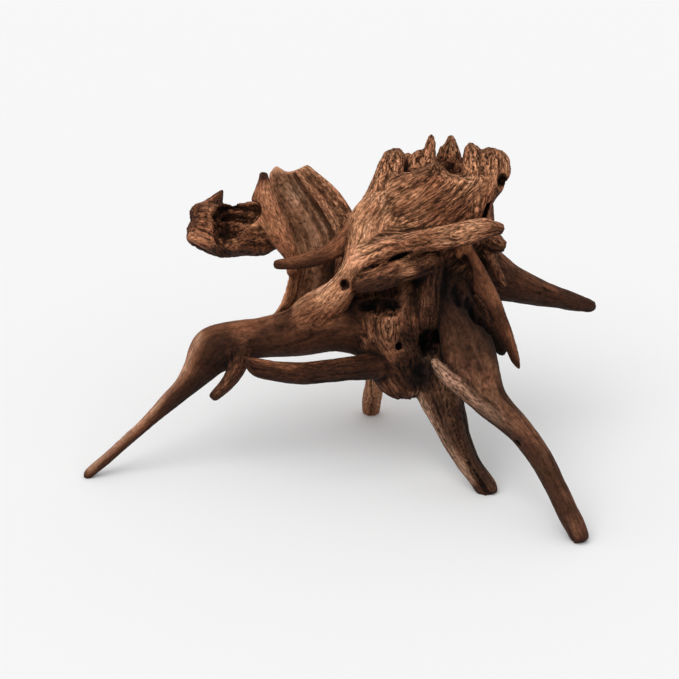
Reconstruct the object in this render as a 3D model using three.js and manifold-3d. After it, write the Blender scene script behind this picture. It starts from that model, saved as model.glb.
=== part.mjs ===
// Driftwood: a weathered root stump, about 410 mm across, that stands on four root ends.
// Millimetres, +Z up. The front of the piece faces -Y, and the surface it stands on is z = 0.
// The whole stump grew as one piece of wood, so it is one solid: limbs and a shell that are
// fused, less the hollows that rot and water have opened in it.

import * as THREE from 'three';
import { mergeVertices } from 'three/addons/utils/BufferGeometryUtils.js';
import Module from 'manifold-3d';

// Driving dimensions. Every place below is written as the eye meets it from the front:
// [right, up, near], measured from a middle point of the stump. The eye is EYE_DISTANCE away
// and looks down by EYE_TILT, and near is the distance from the middle point towards it.
const EYE_DISTANCE = 1400;
const EYE_TILT = THREE.MathUtils.degToRad(25);
const MIDDLE_HEIGHT = 100;
const MIDDLE_X = -3.9;
const MIDDLE_Y = 34.2;

// Wood grain stands in low ribs along every limb: their count round it, and their height as a
// share of the limb's radius.
const RIB_COUNT = 5;
const RIB_HEIGHT = 0.07;
const RIB_TURN = 1.2;

// The shell of old outer wood that stands at the upper left. Its places across and along are
// shares of its width and length.
const SHELL = {
  left: [
    [-56, 14, 2], [-46, 32, 4], [-41, 50, 6], [-39, 65, 7], [-46, 82, 7], [-54, 100, 8],
    [-59, 116, 8], [-60, 131, 8],
  ],
  right: [
    [8, 28, -6], [16, 60, -14], [16, 84, -18], [11, 101, -20], [-3, 120, -20], [-16, 132, -18],
    [-25, 139, -16],
  ],
  rim: [1, 5, 7, 1, 0, 0, 1],
  rimSharpness: 6,
  thickness: 12,
  bow: 15,
  edgeThinning: 0.45,
  rimThinning: 0.25,
  steps: [{ at: 0.64, height: 4.5, width: 0.03 }, { at: 0.34, height: 1.5, width: 0.05 }],
  creases: [{ at: 0.5, depth: 1.4, width: 0.03 }, { at: 0.66, depth: 2.6, width: 0.03 }],
  acrossSteps: 16,
  alongSteps: 9,
};

// The slab that is taken off below the surface it stands on.
const GROUND_WIDTH = 600;
const GROUND_DEPTH = 60;

const wasm = await Module();
wasm.setup();

const TO_EYE = new THREE.Vector3(0, -Math.cos(EYE_TILT), Math.sin(EYE_TILT));
const LEVEL_FRONT = new THREE.Vector3(0, -1, 0);
const ACROSS = new THREE.Vector3(1, 0, 0);

// How much smaller or larger a thing at that depth is than the eye sees it on the middle plane.
function trueScale(near) {
  return (EYE_DISTANCE - near) / EYE_DISTANCE;
}

// The point of the part that the eye sees at right, up, and at that depth.
function place([right, up, near]) {
  const scale = trueScale(near);
  const rise = up * scale;
  return new THREE.Vector3(
    right * scale + MIDDLE_X,
    rise * Math.sin(EYE_TILT) - near * Math.cos(EYE_TILT) + MIDDLE_Y,
    rise * Math.cos(EYE_TILT) + near * Math.sin(EYE_TILT) + MIDDLE_HEIGHT,
  );
}

function smoothRoute(points) {
  return new THREE.CatmullRomCurve3(points, false, 'catmullrom', 0.5);
}

// A closed geometry as a solid that can be joined and cut.
function solid(geometry) {
  geometry.deleteAttribute('normal');
  geometry.deleteAttribute('uv');
  const merged = mergeVertices(geometry, 1e-3);
  return new wasm.Manifold(new wasm.Mesh({
    numProp: 3,
    vertProperties: new Float32Array(merged.attributes.position.array),
    triVerts: new Uint32Array(merged.index.array),
  }));
}

// A limb follows rows of [right, up, near, half width, half depth]. Half width is across the
// limb as the eye sees it and half depth is along the line of sight, unless level is true: then
// its sections lie level, as those of a standing trunk do. They stand about spacing apart.
function limb(rows, { sides = 12, spacing = 11, level = false, ribs = RIB_HEIGHT } = {}) {
  const route = smoothRoute(rows.map(place));
  const sizes = smoothRoute(rows.map(([, , near, width, depth]) =>
    new THREE.Vector3(width, depth, 0).multiplyScalar(trueScale(near))));
  const stepCount = Math.ceil(route.getLength() / spacing);
  const geometry = new THREE.CylinderGeometry(1, 1, 1, sides, stepCount);
  const position = geometry.attributes.position;
  const local = new THREE.Vector3();
  for (let i = 0; i < position.count; i++) {
    local.fromBufferAttribute(position, i);
    const along = local.y + 0.5;
    const spot = route.getPoint(along);
    const heading = route.getTangent(along);
    const side = level ? ACROSS : new THREE.Vector3().crossVectors(heading, TO_EYE).normalize();
    const front = level ? LEVEL_FRONT : new THREE.Vector3().crossVectors(side, heading).normalize();
    const size = sizes.getPoint(along);
    const angle = Math.atan2(local.z, local.x);
    const rib = 1 + ribs * Math.cos(RIB_COUNT * angle + RIB_TURN * along * rows.length);
    const spread = Math.hypot(local.x, local.z) * rib;
    spot.addScaledVector(side, size.x * spread * Math.cos(angle));
    spot.addScaledVector(front, size.y * spread * Math.sin(angle));
    position.setXYZ(i, spot.x, spot.y, spot.z);
  }
  return solid(geometry);
}

// How far the shell's face stands out at a share of its width: the strip beyond each step stands
// proud, and the wood has split along each crease.
function shellRelief(across) {
  let relief = 0;
  for (const { at, height, width } of SHELL.steps) {
    relief += height * Math.tanh((across - at) / width) / 2;
  }
  for (const { at, depth, width } of SHELL.creases) {
    relief -= depth * Math.exp(-(((across - at) / width) ** 2));
  }
  return relief;
}

// The curled shell lies between its left and right edges, each a list of [right, up, near]. It
// is bowed away from the eye between them and thinner towards its edges and its far end, which
// is broken: rim gives how far each place across it stands past, or stops short of, the end.
function shell() {
  const leftEdge = smoothRoute(SHELL.left.map(place));
  const rightEdge = smoothRoute(SHELL.right.map(place));
  const rimLine = smoothRoute(SHELL.rim.map((reach, i) => new THREE.Vector3(i, reach, 0)));
  const geometry = new THREE.BoxGeometry(1, 1, 1, SHELL.acrossSteps, SHELL.alongSteps, 1);
  const position = geometry.attributes.position;
  const local = new THREE.Vector3();
  for (let i = 0; i < position.count; i++) {
    local.fromBufferAttribute(position, i);
    const across = local.x + 0.5;
    const along = local.y + 0.5;
    const spot = leftEdge.getPoint(along).lerp(rightEdge.getPoint(along), across);
    const heading = leftEdge.getTangent(along).lerp(rightEdge.getTangent(along), across).normalize();
    const edge = Math.abs(2 * across - 1);
    const thin = 1 - SHELL.edgeThinning * edge ** 3 - SHELL.rimThinning * along;
    const relief = shellRelief(across) * (local.z + 0.5);
    spot.addScaledVector(TO_EYE, local.z * SHELL.thickness * thin - SHELL.bow * (1 - edge ** 2) + relief);
    spot.addScaledVector(heading, rimLine.getPoint(across).y * along ** SHELL.rimSharpness);
    position.setXYZ(i, spot.x, spot.y, spot.z);
  }
  return solid(geometry);
}

// A hollow with rounded walls, with its half sizes along the eye's right, up and near.
function hollow(middle, halfWidth, halfHeight, halfDepth) {
  const geometry = new THREE.SphereGeometry(1, 12, 8);
  geometry.scale(halfWidth, halfHeight, halfDepth);
  geometry.rotateX(Math.PI / 2 - EYE_TILT);
  const at = place(middle);
  geometry.translate(at.x, at.y, at.z);
  return solid(geometry);
}

function joined(solids) {
  return solids.reduce((whole, next) => whole.add(next));
}

function cut(whole, hollows) {
  return hollows.reduce((left, next) => left.subtract(next), whole);
}

// The stump's own wood: the trunk, the pillar on its left with the web that runs from it along
// the beam, the hip that the legs grow from, and the old wood behind the front root.
function stump() {
  const trunk = limb([
    [56, 14, -8, 34, 24], [62, 44, -10, 46, 25], [64, 70, -6, 57, 28], [66, 94, 0, 57, 34],
    [72, 112, 3, 50, 35], [76, 120, 5, 50, 34], [80, 129, 6, 51, 32], [83, 137, 7, 48, 28],
  ], { sides: 20, level: true, ribs: 0.04 });
  const pillar = limb([
    [46, 124, 2, 15, 12], [42, 112, 8, 19, 15], [37, 104, 11, 19, 16], [31, 94, 16, 22, 17],
    [26, 84, 20, 21.5, 17], [21, 73, 25, 17, 16], [15, 62, 29, 12, 14], [9, 51, 28, 10.5, 13],
    [3, 42, 27, 10.5, 13], [-6, 33, 23, 12, 14], [-18, 24, 17, 13, 14], [-28, 17, 12, 11, 12],
  ]);
  const web = limb([
    [24, 84, 22, 12, 12], [40, 82, 27, 13, 14], [58, 85, 28, 12, 14], [78, 90, 24, 10, 13],
    [98, 95, 17, 8, 11], [110, 98, 12, 6, 8],
  ], { sides: 8, spacing: 14 });
  const hip = limb([
    [54, 52, 0, 20, 16], [50, 34, 4, 26, 19], [45, 14, 10, 27, 21], [43, -6, 12, 25, 21],
    [46, -22, 11, 22, 19], [50, -36, 8, 17, 15], [52, -44, 5, 9, 9],
  ], { sides: 16 });
  const hipRidge = limb([
    [52, 38, 18, 4, 6], [47, 28, 26, 5.5, 7], [40, 12, 30, 8, 7], [39, 0, 30, 7, 7],
    [44, -14, 27, 5, 6],
  ], { sides: 8 });
  const oldWood = limb([
    [92, 96, -10, 14, 12], [94, 76, -12, 28, 18], [92, 48, -14, 31, 20], [88, 22, -14, 32, 18],
    [82, -4, -10, 30, 16], [76, -24, -4, 22, 14], [72, -34, 0, 10, 9],
  ], { spacing: 14 });
  return joined([trunk, pillar, web, hip, hipRidge, oldWood]);
}

// The broken top: a low front rim and the teeth that stand round the rotted crater.
function crown() {
  const frontRim = limb([
    [66, 108, 21, 34, 14], [68, 120, 24, 27, 11], [72, 131, 25, 16, 8], [76, 138, 25, 7, 5],
    [77, 141.5, 25, 3, 3],
  ], { level: true, ribs: 0 });
  const teeth = [
    [[34, 108, 12, 13, 13], [37, 124, 12, 11.5, 12], [40, 138, 11, 10.8, 11], [42.5, 147, 9, 10.5, 8],
      [43.5, 152, 8, 8, 6], [43.5, 155, 8, 4, 3]],
    [[54, 130, 0, 8, 9], [54, 144, -3, 6.5, 6], [54, 149, -4, 3.5, 4]],
    [[62, 132, 6, 9, 9], [63, 145, 3, 7, 6], [64, 151, 2, 3.5, 4]],
    [[70, 136, 6, 7, 7], [71.6, 147, 4, 5.4, 5], [73, 158, 2, 3.9, 3.6], [73.6, 164.5, 1, 1.6, 1.4]],
    [[68, 138, -2, 4, 4], [68.5, 156, -3, 0.9, 1]],
    [[80, 138, -10, 5, 5], [81, 156, -11, 0.9, 1]],
    [[91, 130, -8, 10, 9], [90, 142, -9, 9, 7], [89.6, 151, -10, 7, 5.5], [88.8, 159, -10, 3, 3],
      [88.6, 163, -10, 1, 1.2]],
    [[104, 104, 14, 10, 18], [106, 122, 17, 9.5, 14], [106, 136, 15, 8.8, 11],
      [106, 146, 12, 8, 8], [106, 152, 10, 6.4, 5.5], [105.3, 157, 9, 2.4, 2.5]],
    [[110, 104, 12, 9, 16], [116, 120, 15, 9, 14], [119.5, 135, 14, 9.4, 11],
      [120, 145, 12, 9, 8], [120.5, 151, 10, 8, 6], [122, 155, 10, 4, 3]],
    [[118, 112, 8, 6, 10], [124.5, 122, 12, 7, 10], [129.5, 133, 12, 7.2, 9.5],
      [130.6, 143, 10, 6.2, 7.5], [128.5, 151, 9, 3.5, 4]],
  ].map((rows) => limb(rows, { sides: 8, spacing: 9, level: true, ribs: 0 }));
  return joined([frontRim, ...teeth]);
}

// The long split beam across the front, the lobe under its left end, and the ribs behind them.
function beams() {
  const beam = limb([
    [14, 63, 30, 12, 12], [26, 68, 35, 12, 12], [38, 72, 39, 10.5, 11], [52, 75.5, 42, 8.4, 10],
    [68, 79, 44, 8.6, 10], [90, 83, 45, 9.6, 10], [112, 88, 42, 9, 9], [124, 89, 37, 5.5, 7],
    [131, 88, 34, 4.2, 4.5],
  ]);
  const lobe = limb([
    [15, 43, 31, 5, 6], [24, 46, 34, 8.5, 9], [40, 51, 35, 10, 10], [56, 56, 30, 10, 11],
    [72, 61, 22, 9, 10],
  ]);
  const column = limb([
    [74, 66, 20, 9, 9], [72, 44, 21, 9, 10], [71, 24, 22, 9, 11], [71, 9, 22, 7, 9],
  ], { sides: 8 });
  const stubRight = limb([
    [114, 86, 8, 9, 9], [126, 77, 12, 7, 7], [133, 74, 13, 4.5, 4.5],
  ], { sides: 8 });
  return joined([beam, lobe, column, stubRight]);
}

// The neck at the left of the shell, and the hollow cup that grew from it.
function neckAndCup() {
  const neck = limb([
    [-62, 127, 10, 3.5, 4], [-62, 119, 12, 6.5, 7], [-61.5, 111, 12, 9.5, 8],
    [-57, 101, 12, 10.5, 9], [-50, 89, 10, 9.6, 9], [-44, 77, 9, 8, 8], [-38, 65, 7, 6, 7],
    [-38, 52, 5, 4.6, 6],
  ], { sides: 10 });
  const knob = limb([[-60, 124, 8, 4, 5], [-61, 134, 8, 3, 3.6]], { sides: 8 });
  const cup = limb([
    [-42, 85, -8, 9, 9], [-56, 88, -8, 20, 20], [-78, 88, -8, 21, 24], [-96, 87, -7, 20.5, 22],
    [-109, 90, -5, 18, 17], [-117, 92.5, -4, 15, 13], [-120.5, 93.5, -3, 11.5, 9],
  ], { sides: 14 });
  const cupSpike = limb([
    [-104, 102, -9, 8, 6], [-98, 112, -11, 5, 4.5], [-93, 120, -12, 1.2, 1.2],
  ], { sides: 8 });
  const cupSplinter = limb([
    [-121, 83, 6, 3, 3.5], [-110, 79, 9, 4.6, 5], [-97, 73, 8, 5, 6],
  ], { sides: 8 });
  return joined([neck, knob, cup, cupSpike, cupSplinter]);
}

// The four root ends that it stands on, and the splinter on the front one.
function legs() {
  const leftArm = limb([
    [18, 14, 0, 26, 20], [-6, 13, 5, 23, 20], [-32, 6, 5, 19.5, 19], [-56, 2, 3, 16.6, 17],
    [-76, -0.6, 1, 15.2, 15], [-92, -5.6, 0, 16.4, 13.5], [-104, -12.6, -1, 16.2, 12],
    [-114, -25, -1, 12, 10.5], [-124, -37.6, -1, 8.6, 9], [-139.6, -52.6, 0, 6.6, 7.4],
    [-155.4, -67.6, 0, 5, 6], [-171, -81.6, 0, 4.4, 5.3], [-186, -95, 0, 4.2, 5],
    [-199, -106, 0, 4, 4.6], [-203, -111, 0, 3, 3],
  ]);
  const backLeg = limb([
    [54, 60, -20, 10, 10], [48, 36, -28, 17, 16], [38, 6, -38, 14.5, 15], [31, -18, -55, 10.5, 11.5],
    [28, -36, -72, 8, 9], [26, -48, -90, 7.2, 8], [25, -57, -103, 6.8, 7], [24.5, -60, -108, 6.6, 7],
  ]);
  const middleLeg = limb([
    [74, -8, 4, 17, 17], [78, -28, 7, 18, 16], [82, -46, 10, 17.5, 15], [88, -64, 14, 14, 12],
    [94, -80, 17, 11, 10.5], [102, -96, 20, 9, 9], [110, -108, 21, 8.2, 8],
    [118, -119, 22, 8.5, 7], [119.5, -124, 22, 7, 6],
  ]);
  const frontLeg = limb([
    [84, 52, 0, 12, 12], [86, 38, 6, 15, 15], [91, 25, 14, 16, 16], [97, 12, 22, 17, 16],
    [102, -2, 29, 20, 15], [106, -18, 36, 21, 14.5], [112, -34, 43, 18.6, 13.5],
    [120, -48, 49, 15, 12.5], [132, -60, 56, 12, 11.5], [143, -71, 62, 10.6, 11],
    [154, -85, 68, 9.8, 10], [165, -102, 74, 9.2, 9.5], [174, -120, 79, 8.8, 9],
    [182, -137, 83, 8.6, 9], [190, -152, 87, 8.4, 8.5], [194, -162, 89, 6.8, 7],
  ]);
  const legSplinter = limb([
    [68, -13, 33, 1.2, 2], [78, -22, 39, 2.8, 3.5], [93, -34, 46, 4.2, 5], [109, -47, 52, 4.4, 5.5],
    [127, -62, 60, 3.4, 4.5], [141, -76, 64, 2, 3],
  ], { sides: 8 });
  return joined([leftArm, backLeg, middleLeg, frontLeg, legSplinter]);
}

// The roots that end in the air.
function spikes() {
  const upperLeft = limb([
    [18, 90, 14, 11, 12], [6, 80, 22, 9, 9], [-6, 71, 27, 7.4, 6.5], [-16, 66, 29, 7, 6],
    [-28, 63, 30, 6.2, 5.5], [-40, 61, 31, 5, 4.5], [-50, 60, 32, 4, 4], [-53, 59.6, 32, 2.5, 2.5],
  ], { sides: 10 });
  const lowerLeft = limb([
    [44, -18, 12, 13, 14], [28, -21, 22, 11, 12], [8, -23.5, 32, 9.6, 9.5],
    [-12, -25.5, 36, 9.2, 8.5], [-32, -27, 37, 9, 8], [-52, -25.5, 38, 8.4, 7],
    [-66, -24, 38, 6.6, 6], [-74, -20.5, 38, 3, 3.5],
  ]);
  const armStub = limb([
    [-75, -4, 6, 8, 9], [-79, -16, 10, 7.5, 7.5], [-84, -27, 13, 7, 7], [-91, -37, 15, 5.6, 6],
    [-100, -45.5, 17, 4.2, 4.5], [-102, -48, 17, 3, 3],
  ], { sides: 10 });
  const blade = limb([
    [98, 76, 20, 7, 7], [104, 62, 27, 8.4, 6], [110, 51, 30, 9, 5.5], [116, 40, 31, 9, 5.5],
    [122.5, 28, 31, 8, 5], [128.5, 15, 30, 6.6, 4.6], [135.4, -1, 28, 5.2, 4.4],
    [140.8, -16, 26, 3.8, 3.5], [144.5, -24, 25.5, 1.5, 1.5],
  ], { sides: 8 });
  const backBlade = limb([
    [117, 72, 10, 5, 4], [124, 58, 12, 5, 3], [130, 46, 13, 4, 3], [133, 42, 13, 3, 2.5],
  ], { sides: 8 });
  const lowBlade = limb([
    [106, 34, 0, 14, 10], [118, 13, 3, 10, 9], [128, -4, 7, 6.4, 7], [131.5, -11, 9, 4, 4.5],
  ], { sides: 8 });
  const rightArm = limb([
    [88, 58, -6, 10, 10], [104, 57, -12, 19, 19], [122, 52, -16, 17.5, 17],
    [134, 46.5, -20, 15.4, 15], [146, 41.5, -25, 13, 13], [160, 37, -32, 11, 11],
    [174, 33.4, -39, 8.6, 9.5], [188, 29.6, -46, 7, 7.5], [199, 27, -52, 5.4, 6],
    [204, 26, -54, 3.5, 3.5],
  ]);
  return joined([upperLeft, lowerLeft, armStub, blade, backBlade, lowBlade, rightArm]);
}

// What rot and water have opened. The hollows are the crater, the notch beside the first tooth,
// the hole under the last one, the knot hole, the dark hole beside the front leg, the recesses
// under the lobe and the beam, beside the blade and under the hip, and the inside of the cup.
// The cracks run under the beam and down the trunk's right edge.
function rotted() {
  const hollows = [
    hollow([88, 140, 4], 12, 20, 14),
    hollow([53, 140, 15], 4.5, 9, 11),
    hollow([130, 127, 20], 4.5, 6, 9),
    hollow([4, 44, 40], 3, 4, 9),
    hollow([71.5, -3.5, 38], 9.5, 12.5, 30),
    hollow([26, 30, 34], 26, 9, 24),
    hollow([97, 48, 34], 10, 22, 17),
    hollow([113, 16, 24], 11, 24, 12),
    hollow([66, -26, 36], 9, 12, 15),
    hollow([-85, 97, 14], 24.5, 18, 27),
  ];
  const cracks = [
    [[17, 56, 42, 1.5, 8], [34, 62, 46, 2.4, 13], [50, 68, 47, 2.4, 12], [60, 71, 46, 1.2, 6]],
    [[121, 117, 16, 0.8, 6], [117.5, 106, 18, 2.2, 8], [114, 94, 18, 2.6, 9]],
  ].map((rows) => limb(rows, { sides: 6, ribs: 0 }));
  return [...hollows, ...cracks];
}

// The surface that it stands on takes a small flat off the end of each leg.
function aboveTheSurface(whole) {
  const ground = new THREE.BoxGeometry(GROUND_WIDTH, GROUND_WIDTH, GROUND_DEPTH);
  ground.translate(0, 0, -GROUND_DEPTH / 2);
  return whole.subtract(solid(ground));
}

function driftwood() {
  const grown = joined([stump(), crown(), beams(), neckAndCup(), shell(), legs(), spikes()]);
  const wood = cut(grown, rotted());
  const mesh = aboveTheSurface(wood).getMesh();
  const geometry = new THREE.BufferGeometry();
  geometry.setAttribute('position', new THREE.BufferAttribute(mesh.vertProperties, mesh.numProp));
  geometry.setIndex(new THREE.BufferAttribute(mesh.triVerts, 1));
  geometry.computeVertexNormals();
  const weatheredWood = new THREE.MeshStandardMaterial({
    name: 'weathered root wood',
    color: 0x6b4632,
    roughness: 0.82,
    metalness: 0,
  });
  const made = new THREE.Mesh(geometry, weatheredWood);
  made.name = 'driftwood';
  return made;
}

const part = new THREE.Group();
part.add(driftwood());

export default part;
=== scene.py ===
# The looks of a piece of driftwood: a weathered root stump, about 420 mm across.
# The whole stump is one mesh. Its roots, teeth and shell are grown one by one, fused as the
# living wood was, hollowed where rot opened it, and then worn along each root's own grain.

import math
from dataclasses import dataclass

import bmesh
import bpy
import numpy as np
from mathutils import Matrix, Vector


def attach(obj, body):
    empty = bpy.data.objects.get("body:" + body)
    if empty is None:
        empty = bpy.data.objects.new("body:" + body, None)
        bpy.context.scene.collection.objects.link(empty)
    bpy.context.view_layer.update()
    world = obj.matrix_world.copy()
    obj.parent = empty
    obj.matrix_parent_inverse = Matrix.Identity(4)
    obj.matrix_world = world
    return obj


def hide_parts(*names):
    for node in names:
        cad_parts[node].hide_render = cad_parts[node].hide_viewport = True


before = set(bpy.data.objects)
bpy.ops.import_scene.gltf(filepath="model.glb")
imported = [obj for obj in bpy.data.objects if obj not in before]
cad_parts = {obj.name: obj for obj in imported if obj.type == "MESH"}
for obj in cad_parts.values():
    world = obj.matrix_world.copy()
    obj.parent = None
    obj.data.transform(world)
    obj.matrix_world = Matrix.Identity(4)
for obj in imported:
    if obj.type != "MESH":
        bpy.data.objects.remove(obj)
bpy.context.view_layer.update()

# Sizes are millimetres up to the last step, which turns the mesh to metres.
MM = 0.001

# The stump's own measures. A place on it is [right, up, near] as the eye meets it from the
# front, from a middle point of the stump: the same places as the solid has.
EYE_DISTANCE = 1400.0
EYE_TILT = math.radians(25)
MIDDLE = np.array([-3.9, 34.2, 100.0])
TO_EYE = np.array([0.0, -math.cos(EYE_TILT), math.sin(EYE_TILT)])
EYE_UP = np.array([0.0, math.sin(EYE_TILT), math.cos(EYE_TILT)])
ACROSS = np.array([1.0, 0.0, 0.0])
LEVEL_BACK = np.array([0.0, 1.0, 0.0])
PICTURE_WIDTH = 543.2

# How fine the wood is: the size of a cell where it is fused, the most faces it may end with, and
# the distance between the sections of a limb, which is measured in fine steps.
CELL = 1.25
FACE_LIMIT = 190000
SECTION_GAP = 2.5
FINE_STEPS = 400
# The fewest sections that a limb has, and the least half size of one.
FEWEST_SECTIONS = 6
THINNEST = 0.4
# The marks of each limb start at one of this many places in the noise, this far apart.
LIMB_SEEDS = 97
SEED_GAP = 7.3
# The share of a limb's radius that its middle line counts as.
INNERMOST = 0.05


def true_scale(near):
    """How much smaller a thing at that depth is than it looks on the middle plane."""
    return (EYE_DISTANCE - near) / EYE_DISTANCE


def place(right, up, near):
    scale = true_scale(near)
    return MIDDLE + right * scale * ACROSS + up * scale * EYE_UP + near * TO_EYE


def smooth_route(points, at):
    """The points at those shares, 0 to 1, of a smooth line through the given ones."""
    points = np.asarray(points, float)
    padded = np.vstack([2 * points[0] - points[1], points, 2 * points[-1] - points[-2]])
    spans = len(points) - 1
    along = np.clip(np.asarray(at) * spans, 0, spans - 1e-9)
    span = along.astype(int)
    t = (along - span)[:, None]
    before, start, end, after = (padded[span + k] for k in range(4))
    linear = (end - before) * t
    square = (2 * before - 5 * start + 4 * end - after) * t**2
    cube = (3 * start - before - 3 * end + after) * t**3
    return 0.5 * (2 * start + linear + square + cube)


def unit(vectors):
    return vectors / np.linalg.norm(vectors, axis=-1, keepdims=True)


def heading_along(points, at, step):
    """The direction of a smooth line at those shares of it, over a step to each side."""
    ahead = smooth_route(points, np.minimum(at + step, 1))
    return unit(ahead - smooth_route(points, np.maximum(at - step, 0)))


def cut_across(skin, axis, cuts):
    """Cuts the edges that run the whole way along one axis of a unit shape."""
    skin.verts.ensure_lookup_table()
    whole = [e for e in skin.edges if abs(e.verts[0].co[axis] - e.verts[1].co[axis]) > 0.5]
    bmesh.ops.subdivide_edges(skin, edges=whole, cuts=cuts, use_grid_fill=True)


def move_and_add(skin, spots, wood):
    """Moves the points of one skin to their spots, and adds it to the rest of the wood."""
    for vert, spot in zip(skin.verts, spots):
        vert.co = spot
    mesh = bpy.data.meshes.new("skin")
    skin.to_mesh(mesh)
    skin.free()
    wood.from_mesh(mesh)
    bpy.data.meshes.remove(mesh)


@dataclass
class Limb:
    """A root, tooth or splinter, as rows of [right, up, near, half width, half depth].

    Half width is across the limb as the eye sees it, and half depth is along the line of sight,
    unless it is level: then its sections lie level, as those of a standing trunk do. A round
    section has one half size. tone is how light the wood is, from 0 for dark red-brown to 1 for
    dry tan, and grey is how far sun and rain have bleached it. grained is how strongly fibres and
    cracks show, flutes how deep the long ridges are, rough how far broken wood has crumbled, and
    spiral how steeply the grain turns. fillet is how far the corner with another limb is filled,
    as a share of the radius, and shade is how strongly its hollows are painted dark, as painted
    shade. A limb without its own grain takes that of its neighbours.
    """

    name: str
    rows: list
    level: bool = False
    sides: int = 28
    tone: float = 0.3
    grey: float = 0.2
    grained: float = 1.0
    flutes: float = 1.0
    rough: float = 0.25
    spiral: float = 0.0
    fillet: float = 0.5
    shade: float = 1.0
    own_grain: bool = True

    def __post_init__(self):
        self.seed = sum(ord(letter) for letter in self.name) % LIMB_SEEDS * SEED_GAP
        self.centres_given = [place(*row[:3]) for row in self.rows]
        self.sizes_given = [[half * true_scale(row[2]) for half in (row[3], row[-1])] for row in self.rows]
        fine = np.linspace(0, 1, FINE_STEPS)
        steps = np.linalg.norm(np.diff(smooth_route(self.centres_given, fine), axis=0), axis=1)
        travelled = np.concatenate([[0], np.cumsum(steps)])
        self.length = travelled[-1]
        self.count = max(FEWEST_SECTIONS, int(self.length / SECTION_GAP))
        self.gap = self.length / (self.count - 1)
        at = np.interp(np.linspace(0, self.length, self.count), travelled, fine)
        self.centre, self.heading, self.side, self.back, self.size = self.sections(at)
        self.mean_size = float(self.size.mean())

    def sections(self, at):
        centre = smooth_route(self.centres_given, at)
        heading = heading_along(self.centres_given, at, step=0.002)
        if self.level:
            side = np.broadcast_to(ACROSS, centre.shape)
            back = np.broadcast_to(LEVEL_BACK, centre.shape)
        else:
            side = unit(np.cross(heading, TO_EYE))
            back = unit(np.cross(heading, side))
        size = np.maximum(smooth_route(self.sizes_given, at), THINNEST)
        return centre, heading, side, back, size

    def grow(self, wood):
        """Adds the limb's closed skin to a bmesh."""
        skin = bmesh.new()
        bmesh.ops.create_cone(skin, cap_ends=True, segments=self.sides, radius1=1, radius2=1, depth=1)
        cut_across(skin, 2, self.count)
        local = np.array([vert.co for vert in skin.verts])
        centre, _, side, back, size = self.sections(local[:, 2] + 0.5)
        spots = centre + side * size[:, :1] * local[:, :1] + back * size[:, 1:] * local[:, 1:2]
        move_and_add(skin, spots, wood)

    def reach(self, points):
        """How far outside the limb each point lies, and its place in the limb's own grain."""
        if self.level:
            index = np.interp(points[:, 2], self.centre[:, 2], np.arange(self.count))
        else:
            square = (points**2).sum(1)[:, None] + (self.centre**2).sum(1)[None]
            nearest = (square - 2 * points @ self.centre.T).argmin(axis=1)
            onward = ((points - self.centre[nearest]) * self.heading[nearest]).sum(1)
            index = np.clip(nearest + onward / self.gap, 0, self.count - 1)
        low = np.minimum(index.astype(int), self.count - 2)
        t = (index - low)[:, None]
        centre, heading, side, back, size = (
            values[low] * (1 - t) + values[low + 1] * t
            for values in (self.centre, self.heading, self.side, self.back, self.size)
        )
        offset = points - centre
        across = (offset * side).sum(1)
        deep = (offset * back).sum(1)
        past = offset[:, 2] if self.level else (offset * heading).sum(1)
        along = index * self.gap + past
        width, depth = size.T
        share = np.hypot(across / width, deep / depth)
        outside = np.hypot(across, deep) * (1 - 1 / np.maximum(share, INNERMOST))
        past_end = np.maximum(np.maximum(-along, along - self.length), 0)
        outside = np.where(past_end > 0, np.hypot(np.maximum(outside, 0), past_end), outside)
        turn = self.spiral * along / self.mean_size
        rounded_x = across / width * self.mean_size
        rounded_y = deep / depth * self.mean_size
        grain_x = rounded_x * np.cos(turn) + rounded_y * np.sin(turn)
        grain_y = rounded_y * np.cos(turn) - rounded_x * np.sin(turn)
        return outside, np.stack([grain_x, grain_y, along], axis=1)


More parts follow.
